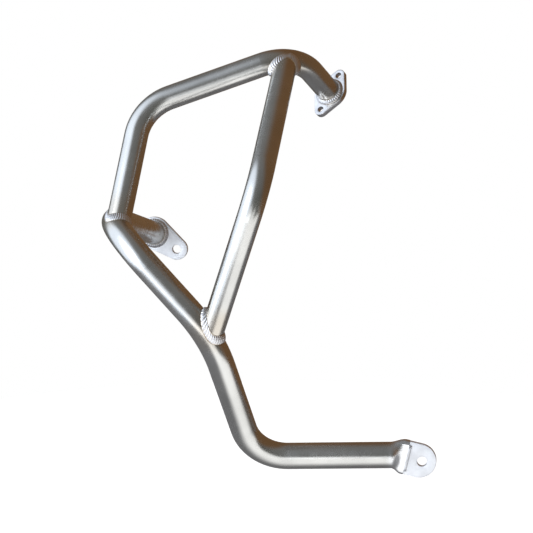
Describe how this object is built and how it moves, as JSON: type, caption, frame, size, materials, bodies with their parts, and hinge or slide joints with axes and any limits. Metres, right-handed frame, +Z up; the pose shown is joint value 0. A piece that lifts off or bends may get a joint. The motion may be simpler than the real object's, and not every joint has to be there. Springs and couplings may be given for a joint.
{
  "type": "motorcycle crash bar",
  "caption": "Lower left engine crash bar of bent steel tube: a loop with a brace, welded to a main tube with bolt tabs and a two-ear flange.",
  "frame": {"origin": "centre of the lower tab's bolt hole, in the middle of the plate", "axes": "+Y to the rear of the motorcycle, along the lower bolt hole, +Z up, +X from the outer side of the motorcycle towards its middle"},
  "size_m": [0.3648, 0.3183, 0.4483],
  "materials": {
    "tube_steel": "satin stainless tube, drawn and brushed along its length",
    "plate_steel": "pale blasted stainless plate",
    "weld_metal": "rippled weld bead, brushed clean"
  },
  "bodies": {
    "root": {"main_tube": "tube_steel", "loop_tube": "tube_steel", "brace_tube": "tube_steel", "lower_tab": "plate_steel", "side_tab": "plate_steel", "top_flange": "plate_steel", "corner_weld": "weld_metal", "brace_top_weld": "weld_metal", "brace_low_weld": "weld_metal", "flange_weld": "weld_metal", "side_tab_weld": "weld_metal", "lower_tab_weld_front": "weld_metal", "lower_tab_weld_rear": "weld_metal"}
  },
  "joints": []
}
